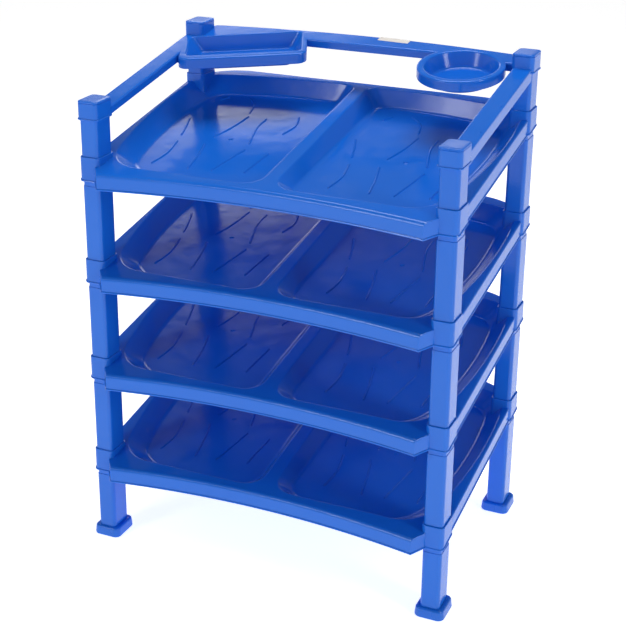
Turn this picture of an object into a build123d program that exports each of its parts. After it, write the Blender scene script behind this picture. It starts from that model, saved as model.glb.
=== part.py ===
from build123d import *
import os
from math import atan, cos, degrees, pi, sin

# Four-tier shoe rack of moulded plastic: sloping two-pan shelves and a U-shaped top frame with two
# trays, held apart by push-fit post tubes. Millimetres, +Z up, +X to the user's right, -Y the front.
# The origin is on the floor, in the middle of the rack's footprint.

# ---- posts ----
post_x = 240.0                 # half the distance between post centres, side to side
post_y = 145.0                 # half the distance between post centres, front to back
tube_x = 26.0
tube_y = 36.0
tube_corner = 5.0
tube_wall = 2.0
fit_gap = 0.2                  # all round, between a tube and its socket
neck_inset = 0.8               # a long tube is this much slimmer, all round, above its shoulder
neck_height = 6.0              # from the shoulder up to the level of the socket above

# ---- corner sockets of the shelves and of the top frame ----
socket_x = 30.0
socket_y = 40.0
socket_corner = 6.5
socket_height = 33.6
socket_web = 3.0               # the stop between the tube above and the tube below
lip_proud = 1.2
lip_height = 2.4

# ---- tiers ----
lowest_socket = 102.5          # floor to the lower edge of the lowest shelf's front sockets
tier_pitch = 140.4
tier_count = 4
shelf_rise = 46.1              # a shelf's back sockets stand this much above its front ones
socket_above_flange = 8.2

# ---- shelf ----
wall = 2.5
shelf_side_x = 252.6
shelf_skirt = 21.5
shelf_back_y = 185.0
back_bow_end_x = 172.0
nose_end_x = 218.5
nose_end_y = -183.0
nose_middle_y = -166.0
return_inset = 5.0             # where a nose's return meets the socket: this far inside the post's middle
return_reach = 17.0            # and this far in front of it

# ---- pans, right-hand one; the left-hand one is its mirror image ----
divider_half = 9.0
pan_front_y = -151.0
pan_back_y = 173.5
pan_front_corner = 29.0
pan_back_corner = 15.0
pan_front_turn_x = 165.0       # the front edge is straight up to here
pan_front_bow = (212.0, -139.0)
pan_side_front = (229.5, -111.0)
pan_side_bow = (246.3, 24.0)
pan_side_back = (243.0, 124.0)
pan_back_turn = (237.0, 142.0)
pan_back_side = (220.0, 157.0)
pan_back_bow = (140.0, 169.5)
pan_depth_front = 16.0
pan_depth_back = 25.0
floor_inset_side = 22.0        # a pan's floor is smaller than its rim by these
floor_inset_back = 9.0
floor_inset_front = 12.0
floor_inset_inner = 15.0

# ---- top frame ----
frame_socket_bottom = 605.6    # floor to the underside of its front sockets
frame_socket_height = 21.8
frame_rise = 47.8
frame_top_level = 638.9        # height of the rails' top plane above the rack's middle
rail_width = 25.5
rail_outer_skirt = 16.0
rail_inner_skirt = 11.0
rail_back_y = 184.0
rail_back_end_x = 225.0
rail_back_end_y = 171.0
rail_inner_back_y = 152.3
gusset_x = 195.0               # outside this the rails' inner corners are filled to gusset_y
gusset_y = 140.0

# ---- corner tray, in axes turned with it ----
tray_turn = 22.4               # degrees
tray_rim_right = -11.0
tray_rim_left = -188.0
tray_rim_front = 117.0
tray_rim_back = 226.0
tray_rim_corner = 14.0
tray_skirt = 14.0
pocket_right = -18.5
pocket_left = -178.0
pocket_front = 129.0
pocket_back = 201.0
pocket_corner = 9.0
pocket_draft_ends = 14.0       # the pocket's floor is smaller than its mouth by these
pocket_draft_back = 6.0
pocket_draft_front = 6.0
tray_depth = 21.5

# ---- round tray ----
cup_x = 160.0
cup_y = 118.5
cup_rim_radius = 58.5
cup_top_radius = 49.5
cup_floor_radius = 41.0
cup_skirt = 13.0

# ---- caps and feet ----
cap_x = 30.0
cap_y = 40.0
cap_edge = 3.4
cap_round = 1.4
cap_plug_depth = 8.0
foot_x = 40.5
foot_y = 46.5
foot_top_x = 38.5
foot_top_y = 44.5
foot_corner = 9.0
foot_height = 14.5
foot_round = 2.5
foot_floor = 4.0

# ---- values worked out from those above ----
shelf_angle = atan(shelf_rise / (2 * post_y))
frame_angle = atan(frame_rise / (2 * post_y))
socket_depth = (socket_height - socket_web) / 2
depth_shift = (shelf_back_y + nose_end_y) / 2

corners = {
    "front_left": (-1, -1),
    "front_right": (1, -1),
    "back_left": (-1, 1),
    "back_right": (1, 1),
}


def rounded_prism(size_x, size_y, height, radius, bottom=0.0):
    """Upright prism with rounded corners, standing on z = bottom."""
    return Pos(0, 0, bottom) * extrude(RectangleRounded(size_x, size_y, radius), height)


def tilt(shape, angle, level):
    """Turn a shape drawn flat so that its back rises, and lift it to its level."""
    return Pos(0, 0, level) * Rot(degrees(angle), 0, 0) * shape


def plumb(angle):
    """Direction, in the axes of a shape drawn flat, that is straight down once it is tilted."""
    return Vector(0, -sin(angle), -cos(angle))


def socket_bore(height, bottom, inset=0.0):
    """Room for one tube end, slimmer by the inset where it takes a tube's neck."""
    grow = fit_gap - inset
    return rounded_prism(tube_x + 2 * grow, tube_y + 2 * grow, height, tube_corner + grow, bottom)


def at_corners(shape, front_bottom, rise):
    """The same shape at all four posts, the back pair higher by the rise."""
    placed = []
    for side, row in corners.values():
        lift = front_bottom + (rise if row > 0 else 0)
        placed.append(Pos(side * post_x, row * post_y, lift) * shape)
    return placed


# ---- shelf ----
def shelf_outline():
    """Plan of a shelf in its own sloping plane: bowed back, hollow front, cut-back front corners."""
    stretch = 1 / cos(shelf_angle)
    back = shelf_back_y * stretch
    back_end = post_y * stretch
    nose_end = nose_end_y * stretch
    nose_middle = nose_middle_y * stretch
    right_side = Line((shelf_side_x, -post_y), (shelf_side_x, back_end))
    right_corner = TangentArc((back_bow_end_x, back), (shelf_side_x, back_end), tangent=(1, 0))
    back_edge = Line((back_bow_end_x, back), (-back_bow_end_x, back))
    left_corner = TangentArc((-back_bow_end_x, back), (-shelf_side_x, back_end), tangent=(-1, 0))
    left_side = Line((-shelf_side_x, back_end), (-shelf_side_x, -post_y))
    bend_x = post_x - return_inset
    bend_y = -post_y - return_reach
    left_return = Polyline((-shelf_side_x, -post_y), (-bend_x, bend_y), (-nose_end_x, nose_end))
    nose = ThreePointArc((-nose_end_x, nose_end), (0, nose_middle), (nose_end_x, nose_end))
    right_return = Polyline((nose_end_x, nose_end), (bend_x, bend_y), (shelf_side_x, -post_y))
    edges = [right_side, right_corner, back_edge, left_corner, left_side, left_return, nose, right_return]
    outline = make_face(edges)
    for side, row in corners.values():
        outline += Pos(side * post_x, row * post_y) * RectangleRounded(socket_x, socket_y, socket_corner)
    return outline


def pan_wire(inset_side, inset_back, inset_front, inset_inner, level_front, level_back):
    """Closed outline of the right-hand pan, moved in by the insets, on a level that may slope."""
    stretch = 1 / cos(shelf_angle)
    front = pan_front_y * stretch + inset_front
    back = pan_back_y * stretch - inset_back
    inner = divider_half + inset_inner
    slope = (level_back - level_front) / (pan_back_y - pan_front_y) / stretch

    def at(x, y):
        return (x, y, level_front + slope * (y - pan_front_y * stretch))

    def outside(point, inset_y):
        x, y = point
        return at(x - inset_side, y * stretch + inset_y)

    def corner_arc(start, end, sharp):
        """Quarter turn from one point to the other, round the sharp corner between them."""
        cut = 1 - sin(pi / 4)
        middle_x = sharp[0] + ((start[0] + end[0] - sharp[0]) - sharp[0]) * cut
        middle_y = sharp[1] + ((start[1] + end[1] - sharp[1]) - sharp[1]) * cut
        return ThreePointArc(at(*start), at(middle_x, middle_y), at(*end))

    turn = outside((pan_front_turn_x, pan_front_y), inset_front)
    side_front = outside(pan_side_front, inset_front)
    side_back = outside(pan_side_back, -inset_back)
    back_side = outside(pan_back_side, -inset_back)
    inner_front = (inner, front + pan_front_corner)
    inner_back = (inner, back - pan_back_corner)
    front_inner = (inner + pan_front_corner, front)
    back_inner = (inner + pan_back_corner, back)
    return Wire([
        Line(at(*inner_back), at(*inner_front)),
        corner_arc(inner_front, front_inner, (inner, front)),
        Line(at(*front_inner), turn),
        ThreePointArc(turn, outside(pan_front_bow, inset_front), side_front),
        ThreePointArc(side_front, outside(pan_side_bow, 0), side_back),
        ThreePointArc(side_back, outside(pan_back_turn, -inset_back), back_side),
        ThreePointArc(back_side, outside(pan_back_bow, -inset_back), at(*back_inner)),
        corner_arc(back_inner, inner_back, (inner, back)),
    ])


def pan_body(grow):
    """Solid between a pan's rim and its floor: its hollow when grow is 0, its outside with a wall."""
    rim = pan_wire(-grow, -grow, -grow, -grow, 0, 0)
    floor_wire = pan_wire(
        floor_inset_side - grow, floor_inset_back - grow, floor_inset_front - grow,
        floor_inset_inner - grow, -pan_depth_front - grow, -pan_depth_back - grow)
    return Solid.make_loft([floor_wire, rim], ruled=True)


def pan_mouth():
    """Thin slice above the flange, so that a pan's hollow opens cleanly."""
    return extrude(make_face(pan_wire(0, 0, 0, 0, 0, 0)), 1.0, dir=(0, 0, 1))


def both_sides(shape):
    return [shape, mirror(shape, Plane.YZ)]


def make_shelf():
    """One shelf with its underside on its own tier at z = 0 for the front sockets."""
    outline = shelf_outline()
    down = plumb(shelf_angle)
    drop = shelf_skirt / cos(shelf_angle)
    plate = extrude(outline, drop, dir=down)
    plate += Pos(down * drop) * extrude(offset(outline, lip_proud), lip_height, dir=-down)
    inside = offset(outline, -wall)
    plate -= Pos(down * wall) * extrude(inside, drop, dir=down)
    for shape in both_sides(pan_body(wall)):
        plate += shape
    for shape in both_sides(pan_body(0) + pan_mouth()):
        plate -= shape
    level = socket_height - socket_above_flange + shelf_rise / 2
    below = Pos(0, 0, -shelf_skirt - 20) * Box(4 * post_x, 4 * post_y, 40)
    socket = rounded_prism(socket_x, socket_y, socket_height + 10, socket_corner, -10)
    shelf = tilt(plate, shelf_angle, level)
    for shape in at_corners(socket, 0, shelf_rise):
        shelf += shape - tilt(below, shelf_angle, level)
    for shape in at_corners(socket_bore(socket_depth + 10, -10, neck_inset), 0, shelf_rise):
        shelf -= shape
    for shape in at_corners(socket_bore(40, socket_depth + socket_web), 0, shelf_rise):
        shelf -= shape
    return shelf


# ---- top frame ----
def in_tray_axes(sketch):
    return Rot(0, 0, tray_turn) * sketch


def tray_rectangle(left, right, front, back, radius):
    """Rounded rectangle in the corner tray's turned axes."""
    shape = RectangleRounded(right - left, back - front, radius)
    return in_tray_axes(Pos((left + right) / 2, (front + back) / 2) * shape)


def frame_outline():
    """Outer plan of the top frame, closed across the open front."""
    back_end = rail_back_end_y / cos(frame_angle)
    back = rail_back_y / cos(frame_angle)
    front = Line((-shelf_side_x, -post_y), (shelf_side_x, -post_y))
    right_side = Line((shelf_side_x, -post_y), (shelf_side_x, post_y))
    right_corner = Line((shelf_side_x, post_y), (rail_back_end_x, back_end))
    back_edge = ThreePointArc((rail_back_end_x, back_end), (0, back), (-rail_back_end_x, back_end))
    left_corner = Line((-rail_back_end_x, back_end), (-shelf_side_x, post_y))
    left_side = Line((-shelf_side_x, post_y), (-shelf_side_x, -post_y))
    return make_face([front, right_side, right_corner, back_edge, left_corner, left_side])


def frame_window(grow):
    """Open middle of the top frame, running out through its front."""
    front = -2 * post_y
    window = Sketch()
    for half, back in ((shelf_side_x - rail_width, gusset_y), (gusset_x, rail_inner_back_y)):
        reach = back / cos(frame_angle) + grow
        window += Pos(0, (front + reach) / 2) * Rectangle(2 * (half + grow), reach - front)
    return window


def rails():
    """Three rails of hollow section, deeper outside than inside."""
    outer = frame_outline()
    down = plumb(frame_angle)
    solid = extrude(outer - frame_window(0), rail_outer_skirt, dir=down)
    core = offset(outer, -wall) - frame_window(wall)
    solid -= Pos(down * wall) * extrude(core, rail_outer_skirt, dir=down)
    step = extrude(frame_window(wall), rail_outer_skirt - rail_inner_skirt + 1, dir=down)
    solid -= Pos(down * rail_inner_skirt) * step
    return solid


def corner_pocket(grow):
    """The corner tray's sloping hollow when grow is 0, or its outside with a wall."""
    mouth = tray_rectangle(
        pocket_left - grow, pocket_right + grow, pocket_front - grow, pocket_back + grow,
        pocket_corner + grow)
    base = tray_rectangle(
        pocket_left + pocket_draft_ends - grow, pocket_right - pocket_draft_ends + grow,
        pocket_front + pocket_draft_front - grow, pocket_back - pocket_draft_back + grow,
        pocket_corner + grow)
    return loft([Pos(0, 0, -tray_depth - grow) * base, mouth], ruled=True)


def corner_tray():
    """Rim with a skirt round the corner tray, and the outside of its pocket."""
    rim = tray_rectangle(tray_rim_left, tray_rim_right, tray_rim_front, tray_rim_back, tray_rim_corner)
    rim = rim & frame_outline()
    down = plumb(frame_angle)
    tray = extrude(rim, tray_skirt, dir=down)
    tray -= Pos(down * wall) * extrude(offset(rim, -wall), tray_skirt, dir=down)
    return tray + corner_pocket(wall)


def round_tray():
    """Rim with a skirt round the round tray, and its sloping cup."""
    rim = Pos(0, 0, -cup_skirt / 2) * Cylinder(cup_rim_radius, cup_skirt)
    hollow_bottom = -cup_skirt - 1
    hollow_height = -wall - hollow_bottom
    rim -= Pos(0, 0, hollow_bottom + hollow_height / 2) * Cylinder(cup_rim_radius - wall, hollow_height)
    cup_height = tray_depth + wall
    cup = Pos(0, 0, -cup_height / 2) * Cone(cup_floor_radius + wall, cup_top_radius + wall, cup_height)
    return Pos(cup_x, cup_y / cos(frame_angle), 0) * (rim + cup)


def round_pocket():
    pocket = Pos(0, 0, -tray_depth / 2) * Cone(cup_floor_radius, cup_top_radius, tray_depth)
    pocket += Pos(0, 0, 0.5) * Cylinder(cup_top_radius, 1)
    return Pos(cup_x, cup_y / cos(frame_angle), 0) * pocket


def make_top_frame():
    """The whole top frame at its height."""
    flat = rails() + corner_tray() + round_tray()
    mouth = tray_rectangle(pocket_left, pocket_right, pocket_front, pocket_back, pocket_corner)
    flat -= corner_pocket(0) + extrude(mouth, 1)
    flat -= round_pocket()
    frame = tilt(flat, frame_angle, frame_top_level)
    socket = rounded_prism(socket_x, socket_y, frame_socket_height, socket_corner)
    socket += rounded_prism(
        socket_x + 2 * lip_proud, socket_y + 2 * lip_proud, lip_height, socket_corner + lip_proud)
    for shape in at_corners(socket, frame_socket_bottom, frame_rise):
        frame += shape
    tube_room = socket_bore(socket_depth + rail_outer_skirt, -rail_outer_skirt)
    for shape in at_corners(tube_room, frame_socket_bottom, frame_rise):
        frame -= shape
    plug_bottom = frame_socket_height - cap_plug_depth
    plug_room = socket_bore(40, plug_bottom - fit_gap)
    for shape in at_corners(plug_room, frame_socket_bottom, frame_rise):
        frame -= shape
    return frame


# ---- small pieces ----
def make_tube(visible, insert_bottom, insert_top, shouldered=True):
    """Hollow post tube whose visible part starts at z = 0, with a slimmer neck at its top."""
    length = insert_bottom + visible + insert_top
    neck = neck_height + insert_top if shouldered else 0.0
    tube = rounded_prism(tube_x, tube_y, length - neck, tube_corner, -insert_bottom)
    if shouldered:
        shoulder = visible - neck_height
        tube = chamfer(tube.edges().group_by(Axis.Z)[-1], neck_inset / 2)
        tube += rounded_prism(
            tube_x - 2 * neck_inset, tube_y - 2 * neck_inset,
            neck + 1, tube_corner - neck_inset, shoulder - 1)
    bore_x = tube_x - 2 * tube_wall
    bore_y = tube_y - 2 * tube_wall
    tube -= rounded_prism(bore_x, bore_y, length + 2, tube_corner - tube_wall, -insert_bottom - 1)
    return tube


def make_cap():
    """Plug cap with a softly rounded top, seated on a socket's rim at z = 0."""
    top = rounded_prism(cap_x, cap_y, cap_edge, socket_corner)
    top = fillet(top.edges().group_by(Axis.Z)[-1], cap_round)
    plug = rounded_prism(tube_x, tube_y, cap_plug_depth, tube_corner, -cap_plug_depth)
    plug -= rounded_prism(
        tube_x - 2 * tube_wall, tube_y - 2 * tube_wall, cap_plug_depth,
        tube_corner - tube_wall, -cap_plug_depth - tube_wall)
    return top + plug


def make_foot():
    """Flared cap over a leg's end."""
    base = RectangleRounded(foot_x, foot_y, foot_corner)
    shoulder = Pos(0, 0, foot_height) * RectangleRounded(foot_top_x, foot_top_y, foot_corner)
    foot = loft([base, shoulder])
    foot = fillet(foot.edges().group_by(Axis.Z)[-1], foot_round)
    foot -= socket_bore(foot_height, foot_floor)
    return foot


def save(name, shape):
    """Write one node, moved so that the origin is in the middle of the footprint."""
    export_step(Pos(0, -depth_shift, 0) * shape, "parts/" + name + ".step")


def save_at_posts(prefix, shape_for, front_bottom_for):
    """Write one node for each post, from a shape and a height that may differ by row."""
    for corner, (side, row) in corners.items():
        place = Pos(side * post_x, row * post_y, front_bottom_for(row))
        save(prefix + "_" + corner, place * shape_for(row))


def main():
    os.makedirs("parts", exist_ok=True)

    shelf = make_shelf()
    for tier in range(tier_count):
        save("shelf_tier_" + str(tier + 1), Pos(0, 0, lowest_socket + tier * tier_pitch) * shelf)

    save("top_frame", make_top_frame())

    def shelf_lift(row):
        return shelf_rise if row > 0 else 0.0

    def frame_lift(row):
        return frame_rise if row > 0 else 0.0

    leg_insert = foot_height - foot_floor
    save_at_posts(
        "leg",
        lambda row: make_tube(lowest_socket + shelf_lift(row) - foot_height, leg_insert, socket_depth),
        lambda row: foot_height)
    save_at_posts("foot", lambda row: make_foot(), lambda row: 0.0)

    span = tier_pitch - socket_height
    for tier in range(1, tier_count):
        bottom = lowest_socket + (tier - 1) * tier_pitch + socket_height
        save_at_posts(
            "post_" + str(tier) + "_" + str(tier + 1),
            lambda row: make_tube(span, socket_depth, socket_depth),
            lambda row, bottom=bottom: bottom + shelf_lift(row))

    highest_socket_top = lowest_socket + (tier_count - 1) * tier_pitch + socket_height
    top_room = frame_socket_height - cap_plug_depth - fit_gap
    save_at_posts(
        "post_top",
        lambda row: make_tube(
            frame_socket_bottom + frame_lift(row) - highest_socket_top - shelf_lift(row),
            socket_depth, min(socket_depth, top_room) - 2 * fit_gap, shouldered=False),
        lambda row: highest_socket_top + shelf_lift(row))

    save_at_posts(
        "cap",
        lambda row: make_cap(),
        lambda row: frame_socket_bottom + frame_socket_height + frame_lift(row))


main()
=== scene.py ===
from math import atan, cos, hypot, pi, radians, sin

import bmesh
import bpy
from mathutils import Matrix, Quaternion, Vector
from mathutils.geometry import delaunay_2d_cdt


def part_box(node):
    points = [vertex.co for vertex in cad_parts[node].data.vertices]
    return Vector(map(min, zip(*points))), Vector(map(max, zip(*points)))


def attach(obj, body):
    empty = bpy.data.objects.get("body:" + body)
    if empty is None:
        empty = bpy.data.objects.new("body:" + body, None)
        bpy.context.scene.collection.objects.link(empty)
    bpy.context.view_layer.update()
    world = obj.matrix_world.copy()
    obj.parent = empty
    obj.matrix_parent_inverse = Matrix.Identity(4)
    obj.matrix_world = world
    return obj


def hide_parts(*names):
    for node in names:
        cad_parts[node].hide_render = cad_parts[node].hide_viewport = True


# Looks of the four-tier plastic shoe rack. Shapes are drawn in millimetres and scaled when a mesh is made.

MM = 0.001
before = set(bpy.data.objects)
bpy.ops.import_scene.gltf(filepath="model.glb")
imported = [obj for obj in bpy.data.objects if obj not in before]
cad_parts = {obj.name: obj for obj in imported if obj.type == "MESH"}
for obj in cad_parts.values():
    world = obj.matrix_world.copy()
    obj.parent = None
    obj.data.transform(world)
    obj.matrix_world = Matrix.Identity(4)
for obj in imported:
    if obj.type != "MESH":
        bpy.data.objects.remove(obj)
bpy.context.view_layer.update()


# ---- places read from the frame ----
def box_mm(node):
    low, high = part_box(node)
    return low / MM, high / MM


def middle_mm(node):
    low, high = box_mm(node)
    return (low + high) / 2


front_right = middle_mm("leg_front_right")
back_right = middle_mm("leg_back_right")
post_x = front_right.x
post_y = (back_right.y - front_right.y) / 2
middle_y = (back_right.y + front_right.y) / 2
shelf_rise = box_mm("leg_back_right")[1].z - box_mm("leg_front_right")[1].z
frame_rise = box_mm("cap_back_right")[1].z - box_mm("cap_front_right")[1].z
posts = [(side * post_x, row * post_y, row) for side in (-1, 1) for row in (-1, 1)]
corner_names = ["front_left", "front_right", "back_left", "back_right"]

# ---- sections shared by the pieces ----
wall = 2.2
tube_x = 26.0
tube_y = 36.0
tube_corner = 5.0
tube_wall = 2.0
tube_edge = 0.4
neck_inset = 0.8
neck_height = 6.0
neck_in_socket = 15.3
shoulder_round = 0.8
shoulder_ease = 0.25
socket_x = 30.0
socket_y = 40.0
socket_corner = 6.5
socket_height = 33.6
socket_above_flange = 8.2
lowest_socket = 102.5
slide_gap = 0.2

# ---- shelf, in plan with the middle of the posts at the origin ----
shelf_slope = shelf_rise / (2 * post_y)
flange_level = lowest_socket + socket_height - socket_above_flange + shelf_rise / 2
skirt = 21.5
side_x = 252.6
shelf_back = 185.0
back_bow_end_x = 172.0
nose_end_x = 218.5
nose_end_y = -183.0
nose_middle_y = -166.0
return_inset = 5.0
return_reach = 17.0
side_round = 2.4
nose_round = 5.0
return_round = 1.2
bead_radius = 1.3
bead_proud = 0.9
shelf_collar_bevel = 1.0
lip_proud = 1.1
lip_height = 2.2
divider_half = 9.0
pan_front = -151.0
pan_back = 173.5
pan_front_corner = 29.0
pan_back_corner = 15.0
pan_front_turn_x = 165.0
pan_front_bow = (212.0, -139.0)
pan_side_front = (229.5, -111.0)
pan_side_bow = (246.3, 24.0)
pan_side_back = (243.0, 124.0)
pan_back_turn = (237.0, 142.0)
pan_back_side = (220.0, 157.0)
pan_back_bow = (140.0, 169.5)
pan_depth_front = 16.0
pan_depth_back = 25.0
pan_inset_side = 22.0
pan_inset_back = 9.0
pan_inset_front = 12.0
pan_inset_inner = 15.0
pan_rim_round = 2.0
pan_floor_round = 4.0

# ---- top frame ----
frame_slope = frame_rise / (2 * post_y)
frame_socket_bottom = 605.6
frame_socket_height = 21.8
rail_level = 638.9
rail_width = 25.5
outer_skirt = 16.0
inner_skirt = 11.0
rail_back = 184.0
rail_back_end_x = 225.0
rail_back_end = 171.0
rail_inner_back = 152.3
gusset_y = 140.0
tray_turn = radians(22.4)
tray_depth = 21.5
tray_right = -11.0
tray_left = -188.0
tray_front = 117.0
tray_corner = 14.0
tray_skirt = 14.0
pocket_right = -18.5
pocket_left = -178.0
pocket_front = 129.0
pocket_back = 201.0
pocket_corner = 9.0
pocket_inset_ends = 14.0
pocket_inset_sides = 6.0
pocket_rim_round = 2.0
tray_floor_round = 4.0
round_tray_x = 160.0
round_tray_y = 118.5
round_rim = 58.5
round_top = 49.5
round_floor = 41.0
round_skirt = 13.0
round_rim_round = 2.6
frame_collar_bevel = 0.8
pip_x = 248.5
pip_places = (-73.6, 4.3)
pip_profile = ((1.4, -0.2), (1.3, 0.4), (0.7, 0.8))
label_x = 44.0
label_y = 177.0
label_size = (45.0, 12.0)
label_corner = 1.0
label_lift = 0.02
label_turn = radians(-3)
label_thickness = 0.35

# ---- caps and feet ----
cap_crown = 3.4
cap_edge = 0.5
cap_round = 1.7
cap_crown_steps = ((-3.5, 0.28), (-6.0, 0.12))
foot_corner = 9.0
foot_lower_round = 2.4
foot_upper_round = 3.4
foot_draft = 1.0
foot_socket_floor = 4.0


# ---- plane outlines, counter-clockwise lists of (x, y) ----
def arc(start, through, end, count):
    """Points of the circular arc through three points, without its end."""
    (ax, ay), (bx, by), (cx, cy) = start, through, end
    d = 2 * (ax * (by - cy) + bx * (cy - ay) + cx * (ay - by))
    a2, b2, c2 = ax * ax + ay * ay, bx * bx + by * by, cx * cx + cy * cy
    centre = Vector(((a2 * (by - cy) + b2 * (cy - ay) + c2 * (ay - by)) / d,
                     (a2 * (cx - bx) + b2 * (ax - cx) + c2 * (bx - ax)) / d))
    first = Vector(start) - centre
    turn_to_through = first.angle_signed(Vector(through) - centre)
    turn = first.angle_signed(Vector(end) - centre)
    if turn_to_through * turn < 0 or abs(turn_to_through) > abs(turn):
        turn -= 2 * pi if turn > 0 else -2 * pi
    points = []
    for i in range(count):
        angle = -turn * i / count
        points.append((centre.x + first.x * cos(angle) - first.y * sin(angle),
                       centre.y + first.x * sin(angle) + first.y * cos(angle)))
    return points


def line(start, end, count):
    """Evenly spaced points from start, without the end."""
    return [(start[0] + (end[0] - start[0]) * i / count, start[1] + (end[1] - start[1]) * i / count)
            for i in range(count)]


def rounded_box(size_x, size_y, radius, steps=7, at=(0.0, 0.0)):
    points = []
    for quarter, (sx, sy) in enumerate(((1, -1), (1, 1), (-1, 1), (-1, -1))):
        cx, cy = at[0] + sx * (size_x / 2 - radius), at[1] + sy * (size_y / 2 - radius)
        for i in range(steps + 1):
            angle = (quarter - 1 + i / steps) * pi / 2
            points.append((cx + radius * cos(angle), cy + radius * sin(angle)))
    return points


def circle(x, y, radius, count=72):
    turns = [2 * pi * i / count for i in range(count)]
    return [(x + radius * cos(turn), y + radius * sin(turn)) for turn in turns]


def grown(points, distance):
    """A closed outline moved out by the distance, or by a list with one distance for each edge."""
    count = len(points)
    reach = distance if isinstance(distance, list) else [distance] * count
    moved = []
    for i in range(count):
        before = Vector(points[i]) - Vector(points[i - 1])
        after = Vector(points[(i + 1) % count]) - Vector(points[i])
        a = Vector((before.y, -before.x)).normalized()
        b = Vector((after.y, -after.x)).normalized()
        cross = a.x * b.y - a.y * b.x
        if abs(cross) < 0.1:
            shift = (a + b) * (reach[i - 1] + reach[i]) / 4
        else:
            shift = Vector((reach[i - 1] * b.y - reach[i] * a.y, reach[i] * a.x - reach[i - 1] * b.x)) / cross
        moved.append((points[i][0] + shift.x, points[i][1] + shift.y))
    return moved


def inside(point, outline):
    x, y = point
    within = False
    for i in range(len(outline)):
        (ax, ay), (bx, by) = outline[i - 1], outline[i]
        if (ay > y) != (by > y) and x < ax + (y - ay) * (bx - ax) / (by - ay):
            within = not within
    return within


def joined_outline(main, others):
    """Union of outlines that each ray from the middle crosses once."""
    kept = [p for p in main if not any(inside(p, other) for other in others)]
    for other in others:
        kept += [p for p in other if not inside(p, main)]
    return sorted(kept, key=lambda p: Vector((1, 0)).angle_signed(Vector(p)), reverse=True)


def softened(points, passes):
    """A closed outline with the small kinks between its arcs smoothed away."""
    for _ in range(passes):
        points = [((points[i - 1][0] + 2 * p[0] + points[(i + 1) % len(points)][0]) / 4,
                   (points[i - 1][1] + 2 * p[1] + points[(i + 1) % len(points)][1]) / 4)
                  for i, p in enumerate(points)]
    return points


def mirrored(points):
    return [(-x, y) for x, y in reversed(points)]


# ---- meshes ----
class Shell:
    """A mesh in the making. Rings run counter-clockwise; each next ring is further up, in, then down."""

    def __init__(self):
        self.points = []
        self.faces = []

    def ring(self, points):
        first = len(self.points)
        self.points.extend(points)
        return list(range(first, len(self.points)))

    def bridge(self, ring, following):
        count = len(ring)
        for i in range(count):
            j = (i + 1) % count
            self.faces.append((ring[i], ring[j], following[j], following[i]))

    def stack(self, rings):
        """Joined rings from lists of points; gives back the first and last one."""
        made = [self.ring(points) for points in rings]
        for ring, following in zip(made, made[1:]):
            self.bridge(ring, following)
        return made[0], made[-1]

    def fill(self, outer, holes=()):
        """Flat triangles between an outer ring and the rings of its holes, facing up."""
        loops = [outer, *holes]
        index = [i for loop in loops for i in loop]
        edges = []
        for loop in loops:
            first = len(edges)
            edges += [(first + i, first + (i + 1) % len(loop)) for i in range(len(loop))]
        flat = [Vector(self.points[i][:2]) for i in index]
        gaps = [[self.points[i][:2] for i in hole] for hole in holes]
        _, _, triangles, sources, _, _ = delaunay_2d_cdt(flat, edges, [], 1, 1e-6)
        for triangle in triangles:
            corners = [index[sources[i][0]] for i in triangle]
            middle = sum((Vector(self.points[i][:2]) for i in corners), Vector((0, 0))) / 3
            if not any(inside(middle, gap) for gap in gaps):
                self.faces.append(tuple(corners))

    def lid(self, ring):
        self.faces.append(tuple(ring))

    def base(self, ring):
        self.faces.append(tuple(reversed(ring)))

    def mesh(self, name):
        made = bpy.data.meshes.new(name)
        made.from_pydata([[value * MM for value in point] for point in self.points], [], self.faces)
        made.validate()
        return made


def shown(name, mesh):
    """A new object in the scene that holds the mesh."""
    made = bpy.data.objects.new(name, mesh)
    bpy.context.scene.collection.objects.link(made)
    return made


def evaluated_mesh(made):
    """The object's mesh with its modifiers applied."""
    bpy.context.view_layer.update()
    graph = bpy.context.evaluated_depsgraph_get()
    return bpy.data.meshes.new_from_object(made.evaluated_get(graph))


def discard(made):
    mesh = made.data
    bpy.data.objects.remove(made)
    bpy.data.meshes.remove(mesh)


def thickened(shell, name, cutter):
    """The mesh of a shell given its wall thickness, with the posts' room cut out."""
    skin = shown(name, shell.mesh(name))
    solid = skin.modifiers.new("wall", "SOLIDIFY")
    solid.thickness = wall * MM
    solid.offset = -1.0
    solid.use_even_offset = True
    solid.use_quality_normals = True
    hole = skin.modifiers.new("posts", "BOOLEAN")
    hole.operation = "DIFFERENCE"
    hole.solver = "MANIFOLD"
    hole.object = cutter
    mesh = evaluated_mesh(skin)
    discard(skin)
    return mesh


def merged(name, meshes, sharp_degrees=32):
    """One mesh from several, smooth except at sharp edges."""
    whole = bmesh.new()
    for mesh in meshes:
        whole.from_mesh(mesh)
    made = bpy.data.meshes.new(name)
    whole.to_mesh(made)
    whole.free()
    made.shade_smooth()
    made.set_sharp_from_angle(angle=radians(sharp_degrees))
    return made


def sleeve(shell, outer, hole, bottom, top, bevel, at):
    """Upright tube with bevelled rims. Bottom is a height, or a function of y for a sloping edge."""
    def level(y):
        return bottom(y) if callable(bottom) else bottom

    def placed(points, height):
        return [(x + at[0], y + at[1], height(y + at[1])) for x, y in points]

    lower_bevel = bevel * 0.6
    rings = [placed(grown(outer, -lower_bevel), level)]
    rings.append(placed(outer, lambda y: level(y) + lower_bevel))
    rings.append(placed(outer, lambda y: top - bevel))
    for step in (30, 60, 90):
        turn = radians(step)
        rings.append(placed(grown(outer, -bevel * (1 - cos(turn))), lambda y: top - bevel * (1 - sin(turn))))
    rings.append(placed(hole, lambda y: top))
    rings.append(placed(hole, level))
    first, last = shell.stack(rings)
    shell.bridge(last, first)


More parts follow.
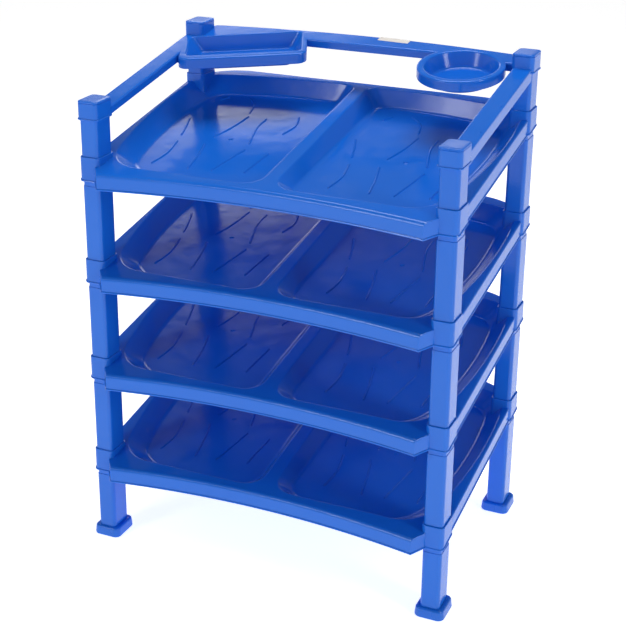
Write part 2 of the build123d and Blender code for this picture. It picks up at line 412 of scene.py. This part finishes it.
def bezier(start, control, end, count):
    """Points on a quadratic curve, both ends included."""
    points = []
    for i in range(count + 1):
        t = i / count
        points.append(tuple((1 - t) ** 2 * a + 2 * t * (1 - t) * b + t * t * c
                            for a, b, c in zip(start, control, end)))
    return points


def basin_rings(rim, floor, depth_at, rim_round, floor_round):
    """Rings of a basin's wall from its rounded rim down to its rounded floor edge."""
    profiles = []
    for (rx, ry), (fx, fy) in zip(rim, floor):
        top = Vector((rx, ry, 0.0))
        foot = Vector((fx, fy, -depth_at(fy)))
        along = Vector((fx - rx, fy - ry, 0.0)).normalized()
        down = (foot - top).normalized()
        inner = foot + along * floor_round
        inner.z = -depth_at(inner.y)
        upper = bezier(top - along * rim_round, top, top + down * rim_round, 5)
        lower = bezier(foot - down * floor_round, foot, inner, 7)
        profiles.append(upper + lower)
    return [list(ring) for ring in zip(*profiles)]


# ---- ribs on the pan floors ----
rib_half_width = 1.7
rib_height = 1.5
# Shares of the half width and of the height, from the foot of a rib to its top.
rib_profile = ((1.35, 0.0), (1.0, 0.0), (0.72, 0.22), (0.42, 0.72), (0.16, 1.0))


def curve_points(knots, count):
    """Smooth line through the knots."""
    padded = [knots[0], *knots, knots[-1]]
    points = []
    for k in range(1, len(padded) - 2):
        a, b, c, d = (Vector(p) for p in padded[k - 1:k + 3])
        for i in range(count):
            t = i / count
            points.append(0.5 * (2 * b + (c - a) * t + (2 * a - 5 * b + 4 * c - d) * t * t
                                 + (3 * b - a - 3 * c + d) * t ** 3))
    points.append(Vector(knots[-1]))
    return points


def rib(shell, knots, height_at):
    """Low rounded ridge along the knots; gives back its outer ring, for the floor to meet."""
    path = curve_points(knots, 6)
    last = len(path) - 1
    tangents = [(path[min(i + 1, last)] - path[max(i - 1, 0)]).normalized() for i in range(last + 1)]
    rings = []
    for width_share, height_share in rib_profile:
        width = rib_half_width * width_share
        lift = rib_height * height_share
        right = [p + Vector((t.y, -t.x)) * width for p, t in zip(path, tangents)]
        left = [p - Vector((t.y, -t.x)) * width for p, t in zip(path, tangents)]
        outline = [path[0] - tangents[0] * width, *right, path[-1] + tangents[-1] * width, *reversed(left)]
        rings.append([(p.x, p.y, height_at(p.y) + lift) for p in outline])
    outer, top = shell.stack(rings)
    side = len(path)
    for i in range(1, side):
        shell.faces.append((top[i], top[i + 1], top[-i - 1], top[-i]))
    shell.faces.append((top[0], top[1], top[-1]))
    shell.faces.append((top[side], top[side + 1], top[side + 2]))
    return outer


# Middle lines of the ribs in the right-hand pan, in plan. The left-hand pan has the same ones, moved over.
rib_lines = (
    ((40, 49), (49, 22), (57, -7)),
    ((62, -28), (68, -66), (64, -101)),
    ((102, -25), (111, -60), (118, -101)),
    ((117, 78), (112, 36), (103, 1)),
    ((145, 77), (146, 45), (160, -8)),
    ((85, 143), (104, 122), (113, 91)),
    ((163, -27), (157, -60), (150, -98)),
    ((199, -30), (196, -60), (194, -92)),
    ((186, 96), (194, 66), (189, 36)),
    ((51, 121), (55, 128), (59, 134)),
    ((127, -2), (129, -1), (131, 0)),
)
left_pan_shift = -250.0


# ---- shelf ----
def flat_y(y, slope):
    """A plan distance, measured along a plane that slopes front to back."""
    return y * hypot(1.0, slope)


def shelf_outline():
    back = flat_y(shelf_back, shelf_slope)
    back_end = flat_y(post_y, shelf_slope)
    nose_end = flat_y(nose_end_y, shelf_slope)
    nose_middle = flat_y(nose_middle_y, shelf_slope)
    run = side_x - back_bow_end_x
    drop = back - back_end
    bow = (run * run + drop * drop) / (2 * drop)
    half_turn = atan(run / (bow - drop)) / 2
    bow_middle = (back_bow_end_x + bow * sin(half_turn), back - bow + bow * cos(half_turn))
    half = line((side_x, -post_y), (side_x, back_end), 60)
    half += arc((side_x, back_end), bow_middle, (back_bow_end_x, back), 40)
    half += line((back_bow_end_x, back), (0, back), 30)
    other = mirrored(half)
    bend = (post_x - return_inset, -post_y - return_reach)
    returned = line((nose_end_x, nose_end), bend, 3)
    returned += line(bend, (side_x, -post_y), 2)
    nose = arc((-nose_end_x, nose_end), (0, nose_middle), (nose_end_x, nose_end), 50)
    left_return = mirrored(returned)
    left_return = [(-side_x, -post_y), *left_return]
    return half + [(0, back)] + other[:-1] + left_return[:-1] + nose + returned


def quarter_turn(start, sharp, end, count):
    """Points of a rounded corner, without its end."""
    cut = 1 - sin(pi / 4)
    middle = tuple(c + (a + b - 2 * c) * cut for a, b, c in zip(start, end, sharp))
    return arc(start, middle, end, count)


def pan_outline(at_side, at_back, at_front, at_inner):
    """Outline of the right-hand pan, moved in by the given insets."""
    front = flat_y(pan_front, shelf_slope) + at_front
    back = flat_y(pan_back, shelf_slope) - at_back
    inner = divider_half + at_inner

    def moved(point, shift):
        return (point[0] - at_side, flat_y(point[1], shelf_slope) + shift)

    inner_front = (inner, front + pan_front_corner)
    front_inner = (inner + pan_front_corner, front)
    turn = (pan_front_turn_x - at_side, front)
    side_front = moved(pan_side_front, at_front)
    side_back = moved(pan_side_back, -at_back)
    back_side = moved(pan_back_side, -at_back)
    back_inner = (inner + pan_back_corner, back)
    inner_back = (inner, back - pan_back_corner)
    points = line(inner_back, inner_front, 40)
    points += quarter_turn(inner_front, (inner, front), front_inner, 14)
    points += line(front_inner, turn, 24)
    points += arc(turn, moved(pan_front_bow, at_front), side_front, 18)
    points += arc(side_front, moved(pan_side_bow, 0), side_back, 44)
    points += arc(side_back, moved(pan_back_turn, -at_back), back_side, 14)
    points += arc(back_side, moved(pan_back_bow, -at_back), back_inner, 34)
    points += quarter_turn(back_inner, (inner, back), inner_back, 12)
    return softened(points, 4)


def pan_depth(y):
    share = (y - flat_y(pan_front, shelf_slope)) / flat_y(pan_back - pan_front, shelf_slope)
    return pan_depth_front + (pan_depth_back - pan_depth_front) * share


def shelf_height(y, slope=shelf_slope):
    return flange_level + slope * y


def tilted(shell, level, slope):
    """Turn a shell drawn flat so that its back rises. Its height stays along the plane's normal."""
    angle = atan(slope)
    shell.points = [(x, y * cos(angle) - z * sin(angle) + middle_y, y * sin(angle) + z * cos(angle) + level)
                    for x, y, z in shell.points]


def upright_skirt(outline, depths, radii, slope):
    """Rings from a skirt's lower edge, straight up, and over its rounded top edge."""
    edge_radii = [min(radius, following) for radius, following in zip(radii, radii[1:] + radii[:1])]
    rings = [[(x, y - depth * slope, -depth) for (x, y), depth in zip(outline, depths)]]
    for step in (0, 18, 36, 54, 72, 90):
        turn = radians(step)
        moved = grown(outline, [-radius * (1 - cos(turn)) for radius in edge_radii])
        drops = [radius * (1 - sin(turn)) for radius in radii]
        rings.append([(x, y - drop * slope, -drop) for (x, y), drop in zip(moved, drops)])
    return rings


def swept_bead(shell, outline, depth, slope, radius):
    """Half-round bead round a skirt's lower edge."""
    steps = 8
    rings = []
    for i in range(steps):
        turn = 2 * pi * i / steps - pi / 2
        moved = grown(outline, radius * cos(turn) * bead_proud)
        drop = depth - radius * (1 + sin(turn))
        rings.append([(x, y - drop * slope, -drop) for x, y in moved])
    first, last = shell.stack(rings)
    shell.bridge(last, first)


def socket_hole(steps=7, at=(0.0, 0.0)):
    """Outline of the room round a post inside a socket."""
    return rounded_box(tube_x + 2 * slide_gap, tube_y + 2 * slide_gap, tube_corner + slide_gap, steps, at)


def post_cutter(name, slope, level):
    """Four upright prisms that make room for the posts."""
    shell = Shell()
    margin = 1.0
    reach = 60.0
    outline = rounded_box(tube_x + 2 * margin, tube_y + 2 * margin, tube_corner + margin)
    for x, y, _ in posts:
        middle = level + slope * y
        rings = [[(x + px, y + py + middle_y, z) for px, py in outline]
                 for z in (middle - reach, middle + reach)]
        first, last = shell.stack(rings)
        shell.base(first)
        shell.lid(last)
    return shown(name, shell.mesh(name))


def shelf_edge_round(x, y):
    """The front edge is rounder than the sides, and the returns beside it are nearly sharp."""
    if y > -post_y - 1:
        return side_round
    on_return = abs(x) > nose_end_x + 1
    return return_round if on_return else nose_round


def make_shelf_mesh():
    shell = Shell()
    outline = shelf_outline()
    radii = [shelf_edge_round(x, y) for x, y in outline]
    _, flange = shell.stack(upright_skirt(outline, [skirt] * len(outline), radii, shelf_slope))
    rims = []
    rim = pan_outline(0, 0, 0, 0)
    floor = pan_outline(pan_inset_side, pan_inset_back, pan_inset_front, pan_inset_inner)
    for side in (1, -1):
        rim_side = rim if side > 0 else mirrored(rim)
        floor_side = floor if side > 0 else mirrored(floor)
        rings = basin_rings(rim_side, floor_side, pan_depth, pan_rim_round, pan_floor_round)
        rim_ring, floor_ring = shell.stack(rings)
        rims.append(rim_ring)
        ribs = []
        for knots in rib_lines:
            shift = 0.0 if side > 0 else left_pan_shift
            placed = [(x + shift, flat_y(y, shelf_slope)) for x, y in knots]
            ribs.append(rib(shell, placed, lambda y: -pan_depth(y)))
        shell.fill(floor_ring, ribs)
    shell.fill(flange, rims)
    tilted(shell, flange_level, shelf_slope)

    cutter = post_cutter("shelf_cutter", shelf_slope, flange_level)
    plate = thickened(shell, "shelf_plate", cutter)
    discard(cutter)

    bead = Shell()
    boxes = [rounded_box(socket_x, flat_y(socket_y, shelf_slope), socket_corner, 10,
                         at=(x, flat_y(y, shelf_slope))) for x, y, _ in posts]
    swept_bead(bead, joined_outline(outline, boxes), skirt, shelf_slope, bead_radius)
    tilted(bead, flange_level, shelf_slope)

    collars = Shell()
    outer = rounded_box(socket_x, socket_y, socket_corner)
    hole = socket_hole()
    lower_edge = skirt * hypot(1.0, shelf_slope)
    for x, y, row in posts:
        top = lowest_socket + socket_height + (shelf_rise if row > 0 else 0)
        sleeve(collars, outer, hole, lambda v: shelf_height(v - middle_y) - lower_edge, top,
               shelf_collar_bevel, (x, y + middle_y))
    return merged("shelf", [plate, bead.mesh("shelf_bead"), collars.mesh("shelf_collars")])


# ---- top frame ----
def turned(s, t):
    """A point of the corner tray, from its own turned axes to the frame's plane."""
    return (s * cos(tray_turn) - t * sin(tray_turn), s * sin(tray_turn) + t * cos(tray_turn))


def frame_outline():
    """Outline of the rails and both trays' rims, open at the front, and the skirt's depth at each point."""
    inner_x = side_x - rail_width
    back = flat_y(rail_back, frame_slope)
    back_end = flat_y(rail_back_end, frame_slope)
    inner_back = flat_y(rail_inner_back, frame_slope)
    gusset = flat_y(gusset_y, frame_slope)
    side_end = flat_y(post_y, frame_slope)
    round_y = flat_y(round_tray_y, frame_slope)

    left_t = (inner_x + tray_left * cos(tray_turn)) / sin(tray_turn)
    left_start = turned(tray_left, left_t)
    right_t = (inner_back - tray_right * sin(tray_turn)) / cos(tray_turn)
    front_corner = (tray_left, tray_front)
    right_corner = (tray_right, tray_front)
    reach_left = round_tray_x - (round_rim ** 2 - (inner_back - round_y) ** 2) ** 0.5
    reach_right = round_tray_x + (round_rim ** 2 - (gusset - round_y) ** 2) ** 0.5

    outside = line((side_x, -post_y), (side_x, side_end), 60)
    outside += line((side_x, side_end), (rail_back_end_x, back_end), 10)
    outside += arc((rail_back_end_x, back_end), (0, back), (-rail_back_end_x, back_end), 90)
    outside += line((-rail_back_end_x, back_end), (-side_x, side_end), 10)
    outside += line((-side_x, side_end), (-side_x, -post_y), 60)
    left_rail = line((-side_x, -post_y), (-inner_x, -post_y), 6)
    left_rail += line((-inner_x, -post_y), left_start, 40)
    corner_tray = line(left_start, turned(tray_left, tray_front + tray_corner), 4)
    corner_tray += quarter_turn(turned(tray_left, tray_front + tray_corner), turned(*front_corner),
                                turned(tray_left + tray_corner, tray_front), 12)
    corner_tray += line(turned(tray_left + tray_corner, tray_front),
                        turned(tray_right - tray_corner, tray_front), 40)
    corner_tray += quarter_turn(turned(tray_right - tray_corner, tray_front), turned(*right_corner),
                                turned(tray_right, tray_front + tray_corner), 12)
    corner_tray += line(turned(tray_right, tray_front + tray_corner), turned(tray_right, right_t), 8)
    back_rail = line(turned(tray_right, right_t), (reach_left, inner_back), 30)
    round_tray = arc((reach_left, inner_back), (round_tray_x, round_y - round_rim), (reach_right, gusset), 80)
    right_rail = line((reach_right, gusset), (inner_x, gusset), 3)
    right_rail += line((inner_x, gusset), (inner_x, -post_y), 60)
    right_rail += line((inner_x, -post_y), (side_x, -post_y), 6)

    points = []
    depths = []
    for part, depth in ((outside, outer_skirt), (left_rail, inner_skirt), (corner_tray, tray_skirt),
                        (back_rail, inner_skirt), (round_tray, round_skirt), (right_rail, inner_skirt)):
        points += part
        depths += [depth] * len(part)
    return points, depths


def corner_loop(at_ends, at_sides):
    """The corner pocket's outline, moved in by the given insets."""
    left, right = pocket_left + at_ends, pocket_right - at_ends
    front, back = pocket_front + at_sides, pocket_back - at_sides
    middle = ((left + right) / 2, (front + back) / 2)
    loop = rounded_box(right - left, back - front, pocket_corner, 9, at=middle)
    return [turned(s, t) for s, t in loop]


def make_frame_mesh():
    shell = Shell()
    outline, depths = frame_outline()
    _, top = shell.stack(upright_skirt(outline, depths, [side_round] * len(outline), frame_slope))
    round_y = flat_y(round_tray_y, frame_slope)
    round_pocket = [circle(round_tray_x, round_y, radius) for radius in (round_top, round_floor)]
    corner_pocket = [corner_loop(0, 0), corner_loop(pocket_inset_ends, pocket_inset_sides)]
    rims = []
    for (rim, floor), rim_round in ((corner_pocket, pocket_rim_round), (round_pocket, round_rim_round)):
        rings = basin_rings(rim, floor, lambda y: tray_depth, rim_round, tray_floor_round)
        rim_ring, floor_ring = shell.stack(rings)
        rims.append(rim_ring)
        shell.lid(floor_ring)
    shell.fill(top, rims)
    tilted(shell, rail_level, frame_slope)

    cutter = post_cutter("frame_cutter", frame_slope, rail_level)
    plate = thickened(shell, "frame_plate", cutter)
    discard(cutter)

    collars = Shell()
    outer = rounded_box(socket_x, socket_y, socket_corner)
    hole = socket_hole()
    lip = rounded_box(socket_x + 2 * lip_proud, socket_y + 2 * lip_proud, socket_corner + lip_proud)
    for x, y, row in posts:
        bottom = frame_socket_bottom + (frame_rise if row > 0 else 0)
        place = (x, y + middle_y)
        sleeve(collars, outer, hole, bottom, bottom + frame_socket_height, frame_collar_bevel, place)
        sleeve(collars, lip, outer, bottom, bottom + lip_height, frame_collar_bevel, place)

    pips = Shell()
    for y in pip_places:
        rings = [[(px, py, high) for px, py in circle(pip_x, flat_y(y, frame_slope), radius, 12)]
                 for radius, high in pip_profile]
        first, last = pips.stack(rings)
        pips.base(first)
        pips.lid(last)
    tilted(pips, rail_level, frame_slope)
    return merged("top_frame", [plate, collars.mesh("frame_collars"), pips.mesh("frame_pips")])


def make_label():
    """Blank paper label stuck on the back rail's top."""
    shell = Shell()
    outline = [(x * cos(label_turn) - y * sin(label_turn) + label_x,
                x * sin(label_turn) + y * cos(label_turn) + flat_y(label_y, frame_slope))
               for x, y in rounded_box(label_size[0], label_size[1], label_corner, 3)]
    rings = [[(x, y, high) for x, y in outline] for high in (label_lift, label_thickness)]
    first, last = shell.stack(rings)
    shell.base(first)
    shell.lid(last)
    tilted(shell, rail_level, frame_slope)
    return merged("label", [shell.mesh("label_sheet")])


# ---- tubes, caps and feet, each in its CAD node's box ----
def make_tube(node, name):
    """Hollow tube in the node's box. A long one has a slimmer neck above its shoulder."""
    low, high = box_mm(node)
    middle = (low + high) / 2
    outer = rounded_box(tube_x, tube_y, tube_corner, at=(middle.x, middle.y))
    bore = rounded_box(tube_x - 2 * tube_wall, tube_y - 2 * tube_wall, tube_corner - tube_wall,
                       at=(middle.x, middle.y))
    levels = [(-tube_edge, low.z), (0.0, low.z + tube_edge)]
    if node.startswith("post_top"):
        levels += [(0.0, high.z - tube_edge), (-tube_edge, high.z)]
    else:
        shoulder = high.z - neck_in_socket - neck_height
        levels += [(0.0, shoulder - shoulder_round), (-shoulder_ease, shoulder - shoulder_round / 4)]
        levels += [(-neck_inset, shoulder), (-neck_inset, high.z)]
    shell = Shell()
    rings = [[(x, y, z) for x, y in grown(outer, out)] for out, z in levels]
    rings += [[(x, y, z) for x, y in bore] for z in (high.z, low.z)]
    first, last = shell.stack(rings)
    shell.bridge(last, first)
    return shown(name, merged(name, [shell.mesh(name)]))


def make_cap(node, name):
    """Crowned cap with a rounded rim; its plug goes down into the socket."""
    low, high = box_mm(node)
    middle = (low + high) / 2
    seat = high.z - cap_crown
    size = high - low
    outer = rounded_box(size.x, size.y, socket_corner, at=(middle.x, middle.y))
    plug = rounded_box(tube_x, tube_y, tube_corner, at=(middle.x, middle.y))
    rings = [[(x, y, low.z) for x, y in plug], [(x, y, seat) for x, y in plug]]
    rings.append([(x, y, seat) for x, y in grown(outer, -cap_edge)])
    rings.append([(x, y, seat + cap_edge) for x, y in outer])
    for step in range(0, 91, 15):
        turn = radians(step)
        level = high.z - cap_edge - cap_round * (1 - sin(turn))
        rings.append([(x, y, level) for x, y in grown(outer, -cap_round * (1 - cos(turn)))])
    for out, sink in cap_crown_steps:
        rings.append([(x, y, high.z - sink) for x, y in grown(outer, out)])
    shell = Shell()
    first, last = shell.stack(rings)
    shell.base(first)
    shell.lid(last)
    return shown(name, merged(name, [shell.mesh(name)]))


def make_foot(node, name):
    """Shoe of a foot with upright sides and a soft ledge round the leg."""
    low, high = box_mm(node)
    middle = (low + high) / 2
    size = high - low
    base = rounded_box(size.x, size.y, foot_corner, 9, at=(middle.x, middle.y))
    hole = socket_hole(9, at=(middle.x, middle.y))
    rings = []
    for step in range(0, 91, 30):
        turn = radians(step)
        level = low.z + foot_lower_round * (1 - sin(turn))
        rings.append([(x, y, level) for x, y in grown(base, -foot_lower_round * (1 - cos(turn)))])
    rings.reverse()
    for step in range(0, 91, 15):
        turn = radians(step)
        level = high.z - foot_upper_round * (1 - sin(turn))
        out = -foot_draft - foot_upper_round * (1 - cos(turn))
        rings.append([(x, y, level) for x, y in grown(base, out)])
    rings.append([(x, y, high.z) for x, y in hole])
    rings.append([(x, y, low.z + foot_socket_floor) for x, y in hole])
    shell = Shell()
    first, last = shell.stack(rings)
    shell.base(first)
    shell.lid(last)
    return shown(name, merged(name, [shell.mesh(name)]))


# ---- materials ----
def new_material(name):
    material = bpy.data.materials.new(name)
    material.use_nodes = True
    return material, material.node_tree, material.node_tree.nodes["Principled BSDF"]


def noise(tree, scale, detail):
    """The output of a noise that sticks to the object."""
    place = tree.nodes.new("ShaderNodeTexCoord")
    texture = tree.nodes.new("ShaderNodeTexNoise")
    texture.inputs["Scale"].default_value = scale
    texture.inputs["Detail"].default_value = detail
    tree.links.new(place.outputs["Object"], texture.inputs["Vector"])
    return texture.outputs["Fac"]


def blended_colour(tree, share, first, second):
    """The output of a mix of two colours."""
    tint = tree.nodes.new("ShaderNodeMix")
    tint.data_type = "RGBA"
    tint.inputs["A"].default_value = (*first, 1)
    tint.inputs["B"].default_value = (*second, 1)
    tree.links.new(share, tint.inputs["Factor"])
    return tint.outputs["Result"]


def plastic(name, colour, deep_colour, roughness, mottle_scale):
    """Glossy coloured polypropylene: slight colour drift, uneven gloss and the faint ripple of a mould."""
    material, tree, shader = new_material(name)
    mottle = blended_colour(tree, noise(tree, mottle_scale, 3.0), deep_colour, colour)
    tree.links.new(mottle, shader.inputs["Base Color"])

    gloss = tree.nodes.new("ShaderNodeMapRange")
    gloss.inputs["From Min"].default_value = 0.3
    gloss.inputs["From Max"].default_value = 0.7
    gloss.inputs["To Min"].default_value = roughness - 0.04
    gloss.inputs["To Max"].default_value = roughness + 0.06
    tree.links.new(noise(tree, 38.0, 5.0), gloss.inputs["Value"])
    tree.links.new(gloss.outputs["Result"], shader.inputs["Roughness"])

    bump = tree.nodes.new("ShaderNodeBump")
    bump.inputs["Strength"].default_value = 0.12
    bump.inputs["Distance"].default_value = 0.0012
    tree.links.new(noise(tree, 55.0, 2.0), bump.inputs["Height"])
    tree.links.new(bump.outputs["Normal"], shader.inputs["Normal"])

    shader.inputs["IOR"].default_value = 1.49
    shader.inputs["Specular IOR Level"].default_value = 0.4
    return material


def paper(name):
    """Uncoated off-white paper with a faint unevenness."""
    material, tree, shader = new_material(name)
    grain = blended_colour(tree, noise(tree, 140.0, 2.0), (0.62, 0.58, 0.55), (0.82, 0.79, 0.74))
    tree.links.new(grain, shader.inputs["Base Color"])
    shader.inputs["Roughness"].default_value = 0.6
    return material


blue = (0.009, 0.155, 0.70)
deep_blue = (0.007, 0.126, 0.62)
shelf_plastic = plastic("shelf_plastic", blue, deep_blue, 0.14, 3.0)
frame_plastic = plastic("frame_plastic", blue, deep_blue, 0.16, 4.0)
tube_plastic = plastic("tube_plastic", blue, deep_blue, 0.16, 6.0)
cap_plastic = plastic("cap_plastic", blue, deep_blue, 0.24, 9.0)
foot_plastic = plastic("foot_plastic", blue, deep_blue, 0.27, 9.0)


def finished(piece, node, material):
    piece.data.materials.clear()
    piece.data.materials.append(material)
    flat = piece.modifiers.new("flat_faces", "WEIGHTED_NORMAL")
    flat.keep_sharp = True
    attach(piece, "root")
    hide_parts(node)


# ---- the object ----
shelf_mesh = make_shelf_mesh()
lowest_tier = box_mm("shelf_tier_1")[0].z
for tier in range(1, 5):
    node = "shelf_tier_" + str(tier)
    shelf = shown("tier_" + str(tier), shelf_mesh)
    shelf.location.z = (box_mm(node)[0].z - lowest_tier) * MM
    finished(shelf, node, shelf_plastic)

finished(shown("rail_and_trays", make_frame_mesh()), "top_frame", frame_plastic)
label = shown("blank_label", make_label())
label.data.materials.append(paper("label_paper"))
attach(label, "root")

for corner in corner_names:
    for prefix in ("leg", "post_1_2", "post_2_3", "post_3_4", "post_top"):
        node = prefix + "_" + corner
        finished(make_tube(node, "tube_" + node), node, tube_plastic)
    finished(make_cap("cap_" + corner, "crown_" + corner), "cap_" + corner, cap_plastic)
    finished(make_foot("foot_" + corner, "base_" + corner), "foot_" + corner, foot_plastic)


# ---- floor, light and camera ----
def make_floor():
    mesh = bpy.data.meshes.new("floor")
    half = 6.0
    corners = [(-half, -half, 0), (half, -half, 0), (half, half, 0), (-half, half, 0)]
    mesh.from_pydata(corners, [], [(0, 1, 2, 3)])
    material, _, shader = new_material("pale_floor")
    shader.inputs["Base Color"].default_value = (0.93, 0.93, 0.94, 1)
    shader.inputs["Roughness"].default_value = 0.7
    shader.inputs["Emission Color"].default_value = (1, 1, 1, 1)
    shader.inputs["Emission Strength"].default_value = 0.78
    mesh.materials.append(material)
    floor = shown("floor", mesh)


def soft_light(name, place, target, size, power):
    light = bpy.data.lights.new(name, "AREA")
    light.shape = "RECTANGLE"
    light.size, light.size_y = size
    light.energy = power
    lamp = bpy.data.objects.new(name, light)
    lamp.location = place
    lamp.rotation_mode = "QUATERNION"
    lamp.rotation_quaternion = (Vector(target) - Vector(place)).to_track_quat("-Z", "Y")
    bpy.context.scene.collection.objects.link(lamp)


def make_camera():
    azimuth, elevation, roll = radians(24.0), radians(21.41), radians(0.34)
    back = Vector((sin(azimuth) * cos(elevation), -cos(azimuth) * cos(elevation), sin(elevation)))
    camera = bpy.data.cameras.new("camera")
    camera.sensor_width = 36.0
    camera.lens = 82.0
    camera.shift_x = 0.0274
    camera.shift_y = -0.0691
    holder = bpy.data.objects.new("camera", camera)
    holder.location = (0.71357, -1.65394, 1.09074)
    holder.rotation_mode = "QUATERNION"
    holder.rotation_quaternion = (-back).to_track_quat("-Z", "Y") @ Quaternion((0, 0, 1), roll)
    bpy.context.scene.collection.objects.link(holder)
    bpy.context.scene.camera = holder


def make_surroundings():
    """White all round, bright near the horizon and dim higher up, where glossy plastic mirrors it."""
    world = bpy.data.worlds.new("studio")
    world.use_nodes = True
    tree = world.node_tree
    direction = tree.nodes.new("ShaderNodeTexCoord")
    split = tree.nodes.new("ShaderNodeSeparateXYZ")
    fade = tree.nodes.new("ShaderNodeMapRange")
    fade.inputs["From Min"].default_value = 0.10
    fade.inputs["From Max"].default_value = 0.26
    fade.inputs["To Min"].default_value = 0.85
    fade.inputs["To Max"].default_value = 0.16
    tree.links.new(direction.outputs["Generated"], split.inputs["Vector"])
    tree.links.new(split.outputs["Z"], fade.inputs["Value"])
    tree.links.new(fade.outputs["Result"], tree.nodes["Background"].inputs["Strength"])
    tree.nodes["Background"].inputs["Color"].default_value = (1, 1, 1, 1)
    bpy.context.scene.world = world


make_floor()
soft_light("key", (-1.2, -2.0, 1.35), (0, 0, 0.35), (0.45, 1.0), 11)
soft_light("fill", (2.0, -0.7, 1.4), (0, 0, 0.35), (0.4, 1.1), 11)
soft_light("top", (-0.1, 0.35, 2.4), (0, 0, 0.3), (1.3, 1.1), 27)
soft_light("window", (-0.85, 2.1, 1.45), (0, 0, 0.55), (1.2, 0.3), 1.6)
soft_light("high_window", (-1.3, 2.1, 1.66), (0, 0, 0.55), (0.75, 0.36), 1.5)
make_camera()
make_surroundings()
bpy.context.scene.view_settings.view_transform = "Standard"
